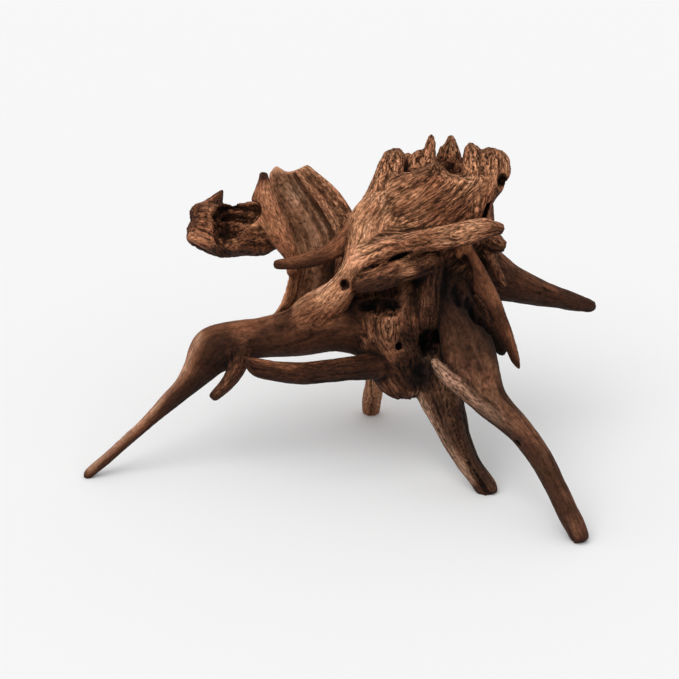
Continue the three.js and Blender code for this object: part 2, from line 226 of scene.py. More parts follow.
def trunk():
    """The standing stump, the pillar on its left, the hip below and the old wood behind."""
    yield Limb("trunk", [
        [56, 14, -8, 34, 24], [62, 44, -10, 46, 25], [64, 70, -6, 57, 28], [66, 94, 0, 57, 34],
        [72, 112, 3, 50, 35], [76, 120, 5, 50, 34], [80, 129, 6, 51, 32], [83, 137, 7, 48, 28],
    ], level=True, sides=64, tone=0.46, grey=0.0, flutes=0.6, rough=0.8, spiral=0.75, fillet=0.12)
    yield Limb("pillar", [
        [46, 124, 2, 15, 12], [42, 112, 8, 19, 15], [37, 104, 11, 19, 16], [31, 94, 16, 22, 17],
        [26, 84, 20, 21.5, 17], [21, 73, 25, 17, 16], [15, 62, 29, 12, 14], [9, 51, 28, 10.5, 13],
        [3, 42, 27, 10.5, 13], [-6, 33, 23, 12, 14], [-18, 24, 17, 13, 14], [-28, 17, 12, 11, 12],
    ], tone=0.82, grey=0.05, grained=0.7, flutes=0.4, rough=0.4)
    yield Limb("web", [
        [24, 84, 20, 12], [40, 82, 24, 13, 14], [58, 85, 24, 12, 14], [78, 90, 20, 10, 13],
        [98, 95, 14, 8, 11], [110, 98, 10, 6, 8],
    ], own_grain=False)
    yield Limb("hip", [
        [54, 52, 0, 20, 16], [50, 34, 4, 26, 19], [45, 14, 10, 27, 21], [43, -6, 12, 25, 21],
        [46, -22, 11, 22, 19], [50, -36, 8, 17, 15], [52, -44, 5, 9],
    ], tone=0.42, grained=0.7, flutes=1.1, rough=0.8, spiral=-0.3)
    yield Limb("hip_ridge", [
        [52, 38, 18, 4, 6], [47, 28, 26, 5.5, 7], [40, 12, 30, 8, 7], [39, 0, 30, 7], [44, -14, 27, 5, 6],
    ], tone=0.26, grey=0.3, grained=0.8, rough=0.8)
    yield Limb("old_wood", [
        [92, 96, -10, 14, 12], [94, 76, -12, 28, 18], [92, 48, -14, 31, 20], [88, 22, -14, 32, 18],
        [82, -4, -10, 30, 16], [76, -24, -4, 22, 14], [72, -34, 0, 10, 9],
    ], tone=0.08, flutes=1.6)


def crown():
    """The broken top: the front rim and the teeth round the crater."""
    yield Limb("front_rim", [
        [66, 108, 21, 34, 14], [68, 120, 24, 27, 11], [72, 131, 25, 16, 8], [76, 138, 25, 7, 5],
        [77, 141.5, 25, 3],
    ], level=True, tone=0.44, grey=0.0, flutes=0.8, rough=1.1, spiral=0.4, fillet=0.2)
    teeth = [
        [[34, 108, 12, 13], [37, 124, 12, 11.5, 12], [40, 136, 11, 10.8, 11], [42.5, 144, 9, 10.5, 8],
         [43.5, 149.5, 8, 8.5, 6], [43.5, 152, 8, 5, 3]],
        [[54, 130, 0, 8, 9], [54, 144, -3, 6.5, 6], [54, 149, -4, 3.5, 4]],
        [[62, 132, 6, 9], [63, 145, 3, 7, 6], [64, 151, 2, 3.5, 4]],
        [[70, 136, 6, 7], [71.6, 147, 4, 5.4, 5], [73, 158, 2, 3.9, 3.6], [73.6, 164.5, 1, 1.6, 1.4]],
        [[68, 138, -2, 4], [68.5, 156, -3, 0.9, 1]],
        [[80, 138, -10, 5], [81, 156, -11, 0.9, 1]],
        [[91, 130, -8, 10, 9], [90, 142, -9, 9, 8], [89.6, 151, -10, 7.4, 6.5],
         [89.2, 156, -10, 5.4, 5], [88.8, 160, -10, 3.6, 3.4], [88.7, 164, -10, 1.4, 1.6]],
        [[104, 104, 14, 10, 18], [106, 122, 17, 9.5, 14], [106, 136, 15, 8.8, 11],
         [106, 146, 12, 8], [106, 152, 10, 6.4, 5.5], [105.3, 157, 9, 2.4, 2.5]],
        [[110, 104, 12, 9, 16], [116, 120, 15, 9, 14], [119.5, 135, 14, 9.4, 11],
         [120, 144, 12, 9, 8], [120.5, 150, 10, 8, 6], [122, 153, 10, 4, 3]],
        [[118, 112, 8, 6, 10], [124.5, 122, 12, 7, 10], [129.5, 133, 12, 7.2, 9.5],
         [130.6, 143, 10, 6.2, 7.5], [128.5, 151, 9, 3.5, 4]],
        [[70, 128, -22, 9, 6], [72, 138, -24, 6, 5], [74, 143, -25, 2, 3]],
        [[98, 128, -20, 8, 6], [97, 137, -22, 5], [95, 142, -23, 2, 3]],
    ]
    for i, rows in enumerate(teeth):
        yield Limb(f"tooth_{i}", rows, level=True, sides=20, tone=0.46, grey=0.0, rough=1.5, fillet=0.12)


def beams():
    """The split beam across the front, the lobe under it and the wood at their right end."""
    yield Limb("beam", [
        [14, 63, 30, 12], [26, 68, 35, 12], [38, 72, 39, 10.5, 11], [52, 75.5, 42, 8.4, 10],
        [68, 79, 44, 8.6, 10], [90, 83, 45, 9.6, 10], [112, 88, 42, 9], [124, 89, 37, 5.5, 7],
        [131, 88, 34, 4.2, 4.5],
    ], tone=0.4, grey=0.1, fillet=0.3)
    yield Limb("lobe", [
        [13.5, 42.5, 34, 5, 6], [20, 44.5, 37, 8.4, 8.5], [32, 49, 38, 10.6, 10], [48, 55, 36, 10.6, 11],
        [60, 58.5, 30, 10, 11], [74, 62, 22, 9, 10],
    ], tone=0.0, flutes=0.8, fillet=0.2)
    yield Limb("column", [
        [74, 66, 20, 9], [72, 44, 21, 9, 10], [71, 24, 22, 9, 11], [71, 9, 22, 7, 9],
    ], tone=0.05, grained=0.8, flutes=1.2)
    yield Limb("stub_right", [
        [114, 86, 8, 9], [126, 77, 12, 7], [133, 74, 13, 4.5],
    ], tone=0.2, rough=1.2)


def cup_and_neck():
    """The hollow cup at the far left with what stands on it, and the neck that carries it."""
    yield Limb("neck", [
        [-60.5, 127, 10, 4.5, 4], [-61, 119, 11, 7.5, 7], [-61, 111, 12, 9.8, 8], [-57, 101, 12, 10.5, 9],
        [-50, 89, 10, 9.6, 9], [-44, 77, 9, 8], [-38, 65, 7, 6, 7], [-38, 52, 5, 4.6, 6],
    ], tone=0.44, grey=0.0, grained=0.7, flutes=0.4)
    yield Limb("fan_knob", [
        [-60, 124, 8, 4, 5], [-61, 134, 8, 3.2, 3.8],
    ], sides=16, tone=-0.1, rough=1.0)
    yield Limb("cup", [
        [-42, 85, -8, 9], [-56, 88, -8, 20], [-78, 88, -8, 21, 24], [-96, 87, -7, 20.5, 22],
        [-108, 90, -5, 18, 17], [-115, 92.5, -4, 15, 13], [-118, 93.5, -3, 11.5, 9],
    ], sides=40, tone=0.34, grey=0.0, grained=0.9, rough=1.0, shade=0.25)
    yield Limb("cup_rim", [
        [-118, 100, -4, 4, 5], [-113, 104, -5, 4.5, 5], [-105, 105, -7, 5],
    ], sides=16, own_grain=False)
    yield Limb("cup_knob", [
        [-99, 77, 12, 5], [-95, 71, 15, 6, 5], [-90, 68, 15, 4],
    ], sides=16, tone=-0.1, rough=1.6)
    yield Limb("cup_spike", [
        [-104, 102, -9, 8, 6], [-98, 112, -11, 5, 4.5], [-93, 120, -12, 1.2],
    ], sides=16, tone=0.15)
    yield Limb("cup_splinter", [
        [-121, 83, 6, 3, 3.5], [-110, 79, 9, 4.6, 5], [-97, 73, 8, 5, 6],
    ], sides=16, tone=0.7, grey=0.0)


def legs():
    """The four roots that it stands on, and the splinter on the front one."""
    yield Limb("left_arm", [
        [18, 14, 0, 26, 20], [-6, 13, 5, 23, 20], [-32, 6, 5, 19.5, 19], [-56, 2, 3, 16.6, 17],
        [-76, -0.6, 1, 15.4, 15], [-91, -5, 0, 17.4, 13.5], [-103, -12, -1, 18, 12],
        [-113, -25, -1, 13, 10.5], [-124, -38, -1, 9], [-139.6, -52.6, 0, 6.8, 7.4],
        [-155.4, -67.6, 0, 5, 6], [-171, -81.6, 0, 4.4, 5.3], [-186, -95, 0, 4.2, 5],
        [-199, -106, 0, 4, 4.6], [-203, -111, 0, 3],
    ], tone=0.06, grey=0.1, grained=0.35, flutes=0.5)
    yield Limb("knee", [
        [-76, 0, 0, 9, 10], [-90, -0.5, 0, 9, 10], [-101, -1.5, 0, 8.6, 9], [-106, -6, 0, 8.4, 8],
    ], own_grain=False)
    yield Limb("back_leg", [
        [54, 60, -20, 10], [48, 36, -28, 17, 16], [38, 6, -38, 14.5, 15], [31, -18, -55, 10.5, 11.5],
        [28, -36, -72, 8, 9], [26, -48, -90, 7.2, 8], [25, -57, -103, 6.8, 7], [24.5, -60, -108, 6.6, 7],
    ], tone=0.75, grained=0.7)
    yield Limb("middle_leg", [
        [74, -8, 4, 17], [78, -28, 7, 18, 16], [82, -46, 10, 17.5, 15], [88, -64, 14, 14, 12],
        [94, -80, 17, 11, 10.5], [102, -96, 20, 9], [110, -108, 21, 8.2, 8], [118, -119, 22, 8.5, 7],
        [119.5, -124, 22, 7, 6],
    ], tone=0.06, grey=0.5, grained=0.8, flutes=1.4)
    yield Limb("front_leg", [
        [84, 52, 0, 12], [86, 38, 6, 15], [91, 25, 14, 16], [97, 12, 22, 17, 16], [102, -2, 29, 20, 15],
        [106, -18, 36, 21, 14.5], [112, -34, 43, 18.6, 13.5], [120, -48, 49, 15, 12.5],
        [132, -60, 56, 12, 11.5], [143, -71, 62, 10.6, 11], [154, -85, 68, 9.8, 10],
        [165, -102, 74, 9.2, 9.5], [174, -120, 79, 8.8, 9], [182, -137, 83, 8.6, 9],
        [190, -152, 87, 8.4, 8.5], [194, -162, 89, 6.8, 7],
    ], tone=-0.02, grey=0.3, grained=0.4, flutes=0.5)
    yield Limb("leg_splinter", [
        [64, -9, 33, 2.4, 3], [78, -22, 41, 5.6, 5], [93, -35, 48, 7.2, 6], [109, -49, 54, 6.6, 6],
        [127, -64, 61, 4.6, 5], [143, -80, 66, 2, 3],
    ], sides=20, tone=0.46, grey=1.0, flutes=1.1, fillet=0.15)


def spikes():
    """The roots that end in the air."""
    yield Limb("upper_spike", [
        [18, 90, 14, 11, 12], [6, 80, 22, 9], [-6, 71, 27, 7.4, 6.5], [-16, 66, 29, 7, 6],
        [-28, 63, 30, 6.2, 5.5], [-40, 61, 31, 5, 4.5], [-50, 60, 32, 4], [-53, 59.6, 32, 2.5],
    ], sides=24, tone=0.06, grey=0.0, grained=0.6, flutes=0.7, fillet=0.3)
    yield Limb("lower_spike", [
        [44, -18, 12, 13, 14], [28, -21, 22, 11, 12], [8, -23.5, 32, 9.6, 9.5],
        [-12, -25.5, 36, 9.2, 8.5], [-32, -27, 37, 9, 8], [-52, -25.5, 38, 8.4, 7],
        [-66, -24, 38, 6.6, 6], [-74, -20.5, 38, 3, 3.5],
    ], tone=-0.26, grey=0.0, grained=0.7, flutes=0.8, fillet=0.1)
    yield Limb("spike_splinter", [
        [-78, -14, 38, 1.4, 2], [-69, -17, 40, 2.8, 3], [-56, -19, 41, 3], [-42, -21, 40, 1.6, 2],
    ], sides=16, tone=0.1, grey=0.1, fillet=0.1)
    yield Limb("arm_stub", [
        [-75, -4, 6, 8, 9], [-79, -16, 10, 7.5], [-84, -27, 13, 7], [-91, -37, 15, 5.6, 6],
        [-100, -45.5, 17, 4.2, 4.5], [-102, -48, 17, 3],
    ], sides=24, tone=0.05, flutes=0.8)
    yield Limb("blade", [
        [98, 76, 20, 7], [104, 62, 27, 8.4, 6], [110, 51, 30, 9, 5.5], [116, 40, 31, 9, 5.5],
        [122.5, 28, 31, 8, 5], [128.5, 15, 30, 6.6, 4.6], [135.4, -1, 28, 5.2, 4.4],
        [140.8, -16, 26, 3.8, 3.5], [144.5, -24, 25.5, 1.5],
    ], sides=24, tone=0.06, grey=0.0, grained=0.5, flutes=0.6, fillet=0.2)
    yield Limb("back_blade", [
        [117, 72, 10, 5, 4], [124, 58, 12, 5, 3], [130, 46, 13, 4, 3], [133, 42, 13, 3, 2.5],
    ], sides=16, tone=0.2, flutes=0.5, fillet=0.2)
    yield Limb("low_blade", [
        [106, 34, 0, 14, 10], [118, 13, 3, 10, 9], [128, -4, 7, 6.4, 7], [131.5, -11, 9, 4, 4.5],
    ], sides=20, tone=-0.1, fillet=0.2)
    yield Limb("right_arm", [
        [88, 58, -6, 10], [104, 57, -12, 19], [122, 52, -16, 17.5, 17], [134, 46.5, -20, 15.4, 15],
        [146, 41.5, -25, 13], [160, 37, -32, 11], [174, 33.4, -39, 8.6, 9.5], [188, 29.6, -46, 7, 7.5],
        [199, 27, -52, 5.4, 6], [204, 26, -54, 3.5],
    ], tone=-0.16, grey=0.0, grained=0.5, flutes=0.6)


# The curled shell of old outer wood at the upper left: its two long edges, from its foot to its
# broken rim, and how far each place across the rim stands past the edges' ends.
SHELL_LEFT = [
    [-56, 14, 2], [-46, 32, 4], [-41, 50, 6], [-39, 65, 7], [-46, 82, 7], [-54, 100, 8], [-59, 116, 8],
    [-60, 131, 8],
]
SHELL_RIGHT = [
    [8, 28, -6], [16, 60, -14], [16, 84, -18], [11, 101, -20], [-3, 120, -20], [-16, 132, -18],
    [-25, 139, -16],
]
SHELL_RIM = [1, 5, 7, 1, 0, 0, 1]
SHELL_THICKNESS = 12.0
SHELL_BOW = 15.0
# Where the shell has split along its grain: share of the width, depth and half width of each.
SHELL_CREASES = [
    (0.20, 0.8, 0.05), (0.50, 0.8, 0.03), (0.645, 3.4, 0.018), (0.80, 1.6, 0.015), (0.91, 1.6, 0.012),
]
# The strip at its right edge and the inner wall stand out from the trough: share of the width,
# height and half width of each step.
SHELL_STEPS = [(0.65, 6.0, 0.02), (0.34, 1.5, 0.05)]
# How much thinner it is at its long edges and its far end, and how suddenly its rim begins.
EDGE_THINNING = 0.45
END_THINNING = 0.25
RIM_POWER = 6
# The cuts across, along and through the block that it is bent from.
SHELL_CUTS = (60, 50, 2)
PLANK_ROWS = 9


def shell_points(across, along, through):
    """Points of the shell, by shares across it, along it, and through its thickness."""
    left = [place(*p) for p in SHELL_LEFT]
    right = [place(*p) for p in SHELL_RIGHT]
    share = across[:, None]
    spot = smooth_route(left, along) * (1 - share) + smooth_route(right, along) * share
    left_heading = heading_along(left, along, step=0.004)
    right_heading = heading_along(right, along, step=0.004)
    heading = unit(left_heading * (1 - share) + right_heading * share)
    edge = np.abs(2 * across - 1)
    relief = np.zeros(len(across))
    for at, depth, width in SHELL_CREASES:
        relief -= depth * np.exp(-(((across - at) / width) ** 2))
    for at, height, width in SHELL_STEPS:
        relief += height * np.tanh((across - at) / width) / 2
    thin = 1 - EDGE_THINNING * edge**3 - END_THINNING * along
    near = -SHELL_BOW * (1 - edge**2) + relief * (through + 0.5) + through * SHELL_THICKNESS * thin
    rim = smooth_route([[i, reach, 0] for i, reach in enumerate(SHELL_RIM)], across)[:, 1]
    return spot + TO_EYE * near[:, None] + heading * (rim * along**RIM_POWER)[:, None]


def grow_shell(wood):
    """Adds the shell's closed skin: a block cut into a fine grid and bent to the shell's form."""
    skin = bmesh.new()
    bmesh.ops.create_cube(skin, size=1)
    for axis, cuts in enumerate(SHELL_CUTS):
        cut_across(skin, axis, cuts)
    local = np.array([vert.co for vert in skin.verts])
    move_and_add(skin, shell_points(local[:, 0] + 0.5, local[:, 1] + 0.5, local[:, 2]), wood)


class Plank(Limb):
    """A strip of the shell between two of its creases, for the grain that runs along it."""

    def __init__(self, name, low, high, tone, grey, grained):
        along = np.linspace(0, 1, PLANK_ROWS)
        spots, edge = (
            shell_points(np.full(PLANK_ROWS, across), along, np.zeros(PLANK_ROWS))
            for across in ((low + high) / 2, low)
        )
        offset = spots - MIDDLE
        near = offset @ TO_EYE
        scale = true_scale(near)
        half = np.linalg.norm(spots - edge, axis=1) / scale
        rows = [
            [o[0] / s, (o @ EYE_UP) / s, n, h, SHELL_THICKNESS / 2]
            for o, s, n, h in zip(offset, scale, near, half)
        ]
        super().__init__(
            name, rows, tone=tone, grey=grey, grained=grained, flutes=0.9 * grained, rough=0.5, shade=0.2
        )


def planks():
    """The strips of the shell from left to right, each with its own looks."""
    edges = [0.0, 0.2, 0.5, 0.65, 0.8, 1.0]
    looks = [(0.74, 0.1, 0.5), (0.7, 0.4, 0.25), (0.62, 0.4, 0.35), (0.56, 0.2, 0.9), (0.56, 0.1, 0.9)]
    return [
        Plank(f"plank_{i}", low, high, *look)
        for i, (low, high, look) in enumerate(zip(edges, edges[1:], looks))
    ]


# The hollows: [right, up, near] of the middle, and the half sizes across, up and deep.
HOLLOWS = {
    "crater": ([88, 135, 8], [12, 17, 12]),
    "notch": ([54, 140, 15], [4, 7, 8]),
    "rim_hole": ([130, 127, 20], [4.5, 6, 9]),
    "knot_hole": ([4, 44, 40], [3.8, 4.8, 9]),
    "knot_pit": ([47, -5.6, 32], [3.6, 4, 6]),
    "leg_knot": ([142, -83, 70], [4, 3, 5]),
    "dark_hole": ([71.5, -3.5, 38], [9.5, 12.5, 30]),
    "under_lobe": ([29, 27.5, 40], [21, 10.5, 24]),
    "behind_spike": ([-9, 58, 12], [12, 7, 14]),
    "under_beam": ([97, 48, 34], [10, 22, 17]),
    "beside_blade": ([112, 18, 24], [13, 26, 13]),
    "under_hip": ([66, -26, 36], [9, 12, 15]),
    "cup_hollow": ([-84, 102, 12], [21, 13, 27]),
    "cup_front": ([-89, 92, 16], [13.5, 19, 24]),
}


def cracks():
    """Thin deep openings: below the beam, round the end of the lobe, at the right edge of the
    trunk and in the tip of the middle leg."""
    yield Limb("beam_crack", [
        [17, 55, 42, 1.0, 6], [25, 57.5, 45, 1.7, 11], [35, 61, 46, 1.3, 10], [44, 65.4, 47, 2.4, 13],
        [52, 68.2, 47, 2.6, 12], [59, 70, 46, 1.0, 6],
    ])
    yield Limb("lobe_groove", [
        [20, 57, 44, 0.9, 7], [12.5, 50, 43, 1.1, 6], [11, 41, 42, 1.2, 6], [16, 33, 42, 1.5, 9],
    ])
    yield Limb("trunk_slit", [
        [121, 117, 16, 0.8, 6], [117.5, 106, 18, 2.2, 8], [114, 94, 18, 2.6, 9], [110, 82, 16, 2.6, 9],
    ])
    yield Limb("leg_split", [
        [92, -82, 28, 0.6, 4], [104, -100, 30, 1.3, 6], [118, -122, 31, 1.7, 7], [123, -129, 31, 2, 8],
    ])


def mesh_object(name, wood):
    mesh = bpy.data.meshes.new(name)
    wood.to_mesh(mesh)
    wood.free()
    made = bpy.data.objects.new(name, mesh)
    bpy.context.scene.collection.objects.link(made)
    return made


def bake(made):
    """Gives the object the mesh that its modifiers make, and removes them."""
    depsgraph = bpy.context.evaluated_depsgraph_get()
    finished = bpy.data.meshes.new_from_object(made.evaluated_get(depsgraph))
    made.modifiers.clear()
    old = made.data
    made.data = finished
    bpy.data.meshes.remove(old)


def fuse(made):
    """Makes one skin of everything that overlaps."""
    remesh = made.modifiers.new("one skin", "REMESH")
    remesh.mode = "VOXEL"
    remesh.voxel_size = CELL
    bake(made)


def hollow_out(made):
    """Opens the hollows and the cracks. Rot is uneven, so each hollow is a ball with lumps and
    crumbs, whose heights and widths are shares of its half sizes."""
    rot = bmesh.new()
    for middle, half in HOLLOWS.values():
        turned = Matrix.Rotation(math.pi / 2 - EYE_TILT, 4, "X")
        sized = Matrix.Diagonal((*half, 1))
        at = Matrix.Translation(Vector(place(*middle)))
        ball = bmesh.ops.create_icosphere(rot, subdivisions=4, radius=1)["verts"]
        local = np.array([vert.co for vert in ball])
        lumps = 0.16 * noise(local * 2.3 + sum(half))
        crumbs = 0.06 * noise(local * 6)
        for vert, spot in zip(ball, local * (1 + lumps + crumbs)[:, None]):
            vert.co = spot
        bmesh.ops.transform(rot, matrix=at @ turned @ sized, verts=ball)
    for crack in cracks():
        crack.grow(rot)
    cutter = mesh_object("rot", rot)
    opening = made.modifiers.new("rot", "BOOLEAN")
    opening.operation = "DIFFERENCE"
    opening.solver = "EXACT"
    opening.use_self = True
    opening.object = cutter
    bake(made)
    bpy.data.objects.remove(cutter)


def read(items, name, kind, *width):
    """A value that every item of a mesh has, as an array with that width."""
    values = np.empty((len(items), *width), kind)
    items.foreach_get(name, values.ravel())
    return values


def points_and_edges(made):
    mesh = made.data
    return read(mesh.vertices, "co", np.float32, 3).astype(float), read(mesh.edges, "vertices", np.int32, 2)


def outward(made):
    """The direction that faces outwards at each point."""
    return read(made.data.vertex_normals, "vector", np.float32, 3).astype(float)


def relaxed(points, edges, amount, rounds):
    """The points drawn towards the middle of their neighbours, each by its own amount."""
    count = len(points)
    start, end = edges.T
    links = np.maximum(np.bincount(edges.ravel(), minlength=count), 1)[:, None]
    points = points.copy()
    amount = np.broadcast_to(amount, count)[:, None]
    for _ in range(rounds):
        total = np.stack([
            np.bincount(start, points[end, axis], count) + np.bincount(end, points[start, axis], count)
            for axis in range(points.shape[1])
        ], axis=1)
        points += amount * (total / links - points)
    return points


# Random values at the corners of a lattice, which repeats after this many cells.
LATTICE_SIZE = 64
LATTICE = np.random.default_rng(11).random((LATTICE_SIZE,) * 3) * 2 - 1
# How far each layer of noise is shifted from the one before.
LAYER_SHIFT = 17.3
CREASE_SHIFT = 9.1
# How deep two layers of creases are together, and the middle height of creased noise.
CREASE_DEPTH = 1.6
MIDDLE_CREASE = -0.5


def noise(places):
    """Smooth random values from -1 to 1, with a change about once in each unit."""
    cell = np.floor(places).astype(int)
    t = places - cell
    t = t * t * t * (t * (t * 6 - 15) + 10)
    value = np.zeros(len(places))
    for corner in np.ndindex(2, 2, 2):
        weight = np.prod(np.where(corner, t, 1 - t), axis=1)
        spot = (cell + corner) % LATTICE_SIZE
        value += weight * LATTICE[spot[:, 0], spot[:, 1], spot[:, 2]]
    return value


def layered(places, layers):
    """Noise in layers, each twice as fine and half as strong as the one before."""
    total = np.zeros(len(places))
    for layer in range(layers):
        total += noise(places * 2**layer + LAYER_SHIFT * layer) / 2**layer
    return total


def creased(places, layers):
    """Noise with broad rounded tops and sharp creases between them, from 0 down to -1."""
    total = np.zeros(len(places))
    for layer in range(layers):
        total -= (1 - np.sqrt(np.abs(noise(places * 2**layer + CREASE_SHIFT * layer)))) / 2**layer
    return total / CREASE_DEPTH


# The grain wanders by this much over this length, in its own way in each direction across.
WAVE_HEIGHT = 1.6
WAVE_LENGTH = 17.0
WAVE_SHIFTS = (0.0, 31.7)
# A limb is felt this far past its widest part, and counts as far away past that.
NEARBY = 14.0
FAR = 60.0
# How many points are worked out together, to save memory.
BATCH = 20000


def limb_reach(points, limbs):
    """For each point and limb, how far outside the limb it is, and its place in the grain."""
    outside = np.full((len(points), len(limbs)), FAR, np.float32)
    grain = np.zeros((len(points), len(limbs), 3), np.float32)
    wave = np.stack([noise(points / WAVE_LENGTH + shift) for shift in WAVE_SHIFTS], axis=1) * WAVE_HEIGHT
    for i, limb in enumerate(limbs):
        margin = limb.size.max() + NEARBY
        low = limb.centre.min(0) - margin
        high = limb.centre.max(0) + margin
        near = np.flatnonzero(((points > low) & (points < high)).all(1))
        for part in np.array_split(near, len(near) // BATCH + 1):
            outside[part, i], grain[part, i] = limb.reach(points[part])
            grain[part, i, :2] += wave[part]
    return outside, grain


def nearest_three(outside, blend):
    """The three nearest limbs of each point, and their shares, which change over that width."""
    order = np.argsort(outside, axis=1)[:, :3]
    gap = np.take_along_axis(outside, order, axis=1)
    share = np.exp((gap[:, :1] - gap) / blend)
    return order, share / share.sum(1, keepdims=True)


# The marks of wear: the size of each kind across, deep and along the grain, and its height.
RIDGE_SIZE = [9, 9, 75]
RIDGE_HEIGHT = 1.9
FIBRE_SIZE = [3, 3, 26]
FIBRE_HEIGHT = 0.5
LUMP_SIZE = [13, 13, 22]
LUMP_HEIGHT = 0.9
PIT_SIZE = [5, 5, 12]
PIT_DEPTH = 1.6
PIT_START = 0.45
CRUMB_SIZE = [5, 5, 7]
CRUMB_HEIGHT = 1.7
CRACK_SIZE = [8, 8, 55]
CRACK_DEPTH = 1.3
CRACK_WIDTH = 0.09
# Cracks have opened in patches: how suddenly each patch begins, and its shift from the ridges.
PATCH_EDGE = 3
PATCH_SHIFT = 5.0
# A root this thick has the marks at full height, and a thinner one has less of the large marks.
THICK_ROOT = 14.0
# A limb with a smaller share than this in the wear of a place is left out there.
LEAST_SHARE = 0.02


def wear(limb, grain):
    """How far wear has moved the skin at those places of the limb's grain, in millimetres."""
    thickness = min(1.0, limb.mean_size / THICK_ROOT)
    spots = grain + limb.seed
    ridges = RIDGE_HEIGHT * (creased(spots / RIDGE_SIZE, 2) - MIDDLE_CREASE)
    fibres = FIBRE_HEIGHT * layered(spots / FIBRE_SIZE, 2)
    lumps = LUMP_HEIGHT * layered(spots / LUMP_SIZE, 2)
    pits = PIT_DEPTH * np.minimum(0, creased(spots / PIT_SIZE, 1) + PIT_START)
    crumbs = CRUMB_HEIGHT * (creased(spots / CRUMB_SIZE, 2) - MIDDLE_CREASE)
    opened = np.clip(PATCH_EDGE * noise(spots / RIDGE_SIZE + PATCH_SHIFT), 0, 1)
    cracks_here = -CRACK_DEPTH * opened * np.exp(-((noise(spots / CRACK_SIZE) / CRACK_WIDTH) ** 2))
    grained = limb.grained * (thickness * (lumps + pits + cracks_here) + fibres)
    return thickness * limb.flutes * ridges + grained + limb.rough * math.sqrt(thickness) * crumbs


# Knots, where the wood grew over a dead shoot, with rings round them: [right, up] of the middle
# as the eye meets it from the front, and how wide and how tall the ringed place is.
KNOTS = {
    "knot on the hip": ([38, 10], [8, 17]),
    "burl under the column": ([72, 22], [6, 6]),
}
RING_GAP = 0.42
RING_HEIGHT = 0.7
# How far the rings wander, and over which length.
RING_WANDER = 2
RING_WANDER_LENGTH = 7


def rings(points):
    """The relief of the rings round each knot, in millimetres."""
    right, up, _ = as_seen(points)
    right = right + RING_WANDER * noise(points / RING_WANDER_LENGTH)
    relief = np.zeros(len(points))
    for (middle_right, middle_up), (width, height) in KNOTS.values():
        away = np.hypot((right - middle_right) / width, (up - middle_up) / height)
        knot = place_on_skin(points, middle_right, middle_up)
        near = np.linalg.norm(points - knot, axis=1) < 2 * height
        relief += near * RING_HEIGHT * np.cos(2 * math.pi * away / RING_GAP) * np.exp(-(away**2))
    return relief


def weather(points, normals, limbs):
    """Moves the skin in and out along its own normals, by the grain of the nearest limbs."""
    outside, grain = limb_reach(points, limbs)
    order, share = nearest_three(outside, blend=1.8)
    moved = rings(points)
    for i, limb in enumerate(limbs):
        for rank in range(3):
            chosen = np.flatnonzero((order[:, rank] == i) & (share[:, rank] > LEAST_SHARE))
            if len(chosen):
                moved[chosen] += share[chosen, rank] * wear(limb, grain[chosen, i])
    return points + normals * moved[:, None]


def grow_driftwood(limbs):
    wood = bmesh.new()
    for limb in limbs:
        limb.grow(wood)
    grow_shell(wood)
    made = mesh_object("driftwood_piece", wood)
    fuse(made)
    round_the_joints(made, limbs)
    hollow_out(made)
    fuse(made)
    soften(made)
    return made


# The fill between limbs: its widest reach, its height as a share of that, and how much of it
# the third, second and nearest of the other limbs give.
FILL_REACH = 7.0
FILL_HEIGHT = 0.8
FILL_SHARES = [0.3, 0.6, 1.0]
# A limb is softened by the first amount, and a corner that is filled this high by both.
FULL_FILL = 3.0
LIMB_SOFTENING = 0.05
CORNER_SOFTENING = 0.55


def soften(made):
    """Takes the steps of the cells off the skin."""
    points, edges = points_and_edges(made)
    set_points(made, relaxed(points, edges, amount=0.3, rounds=3))


def set_points(made, points):
    made.data.vertices.foreach_set("co", points.astype(np.float32).ravel())
    made.data.update()


def round_the_joints(made, limbs):
    """Fills the corners between limbs as growing wood does, and leaves the limbs as they are."""
    points, edges = points_and_edges(made)
    outside, _ = limb_reach(points, limbs)
    outside = np.maximum(outside, 0, out=outside)
    spread = np.array([min(FILL_REACH, limb.fillet * limb.mean_size) for limb in limbs])
    owner = outside.argmin(axis=1)
    reach = np.minimum(spread[owner][:, None], spread[None, :])
    fill = FILL_HEIGHT * reach * np.exp(-outside / reach)
    fill[np.arange(len(points)), owner] = 0
    fill = np.sort(fill, axis=1)[:, -3:] @ np.array(FILL_SHARES)
    fill = relaxed(fill[:, None], edges, amount=0.5, rounds=4)
    points = points + outward(made) * fill
    corner = np.clip(fill[:, 0] / FULL_FILL, 0, 1)
    amount = LIMB_SOFTENING + CORNER_SOFTENING * corner
    set_points(made, relaxed(points, edges, amount, rounds=20))


def driftwood():
    grown = [*trunk(), *crown(), *beams(), *cup_and_neck(), *legs(), *spikes()]
    made = grow_driftwood(grown)
    limbs = [limb for limb in grown if limb.own_grain] + planks()
    points, _ = points_and_edges(made)
    set_points(made, weather(points, outward(made), limbs))
    faces = len(made.data.polygons) * 2
    if faces > FACE_LIMIT:
        thinner = made.modifiers.new("thinner", "DECIMATE")
        thinner.ratio = FACE_LIMIT / faces
        bake(made)
        made.data.validate()
    color_places(made, limbs)
    stand_flat(made)
    made.data.transform(Matrix.Scale(MM, 4))
    for polygon in made.data.polygons:
        polygon.use_smooth = True
    made.data.update()
    return made


def stand_flat(made):
    """The surface that it stands on takes a small flat off the end of each leg."""
    points, _ = points_and_edges(made)
    points[:, 2] = np.maximum(points[:, 2], 0)
    set_points(made, points)


# How far apart the grain of one limb is from the next in the patterns, and the width over which
# the grain of one turns into the other's.
LIMB_SHIFT = 53.0
GRAIN_BLEND = 5.0
# How much each millimetre of a fine and of a broad ridge counts, and the depth of a full hollow,
# for the ridge and hollow values that drive the painted highlight and painted shade.
FINE_RIDGE = 2.5
BROAD_RIDGE = 1.4
FULL_HOLLOW = 6.0
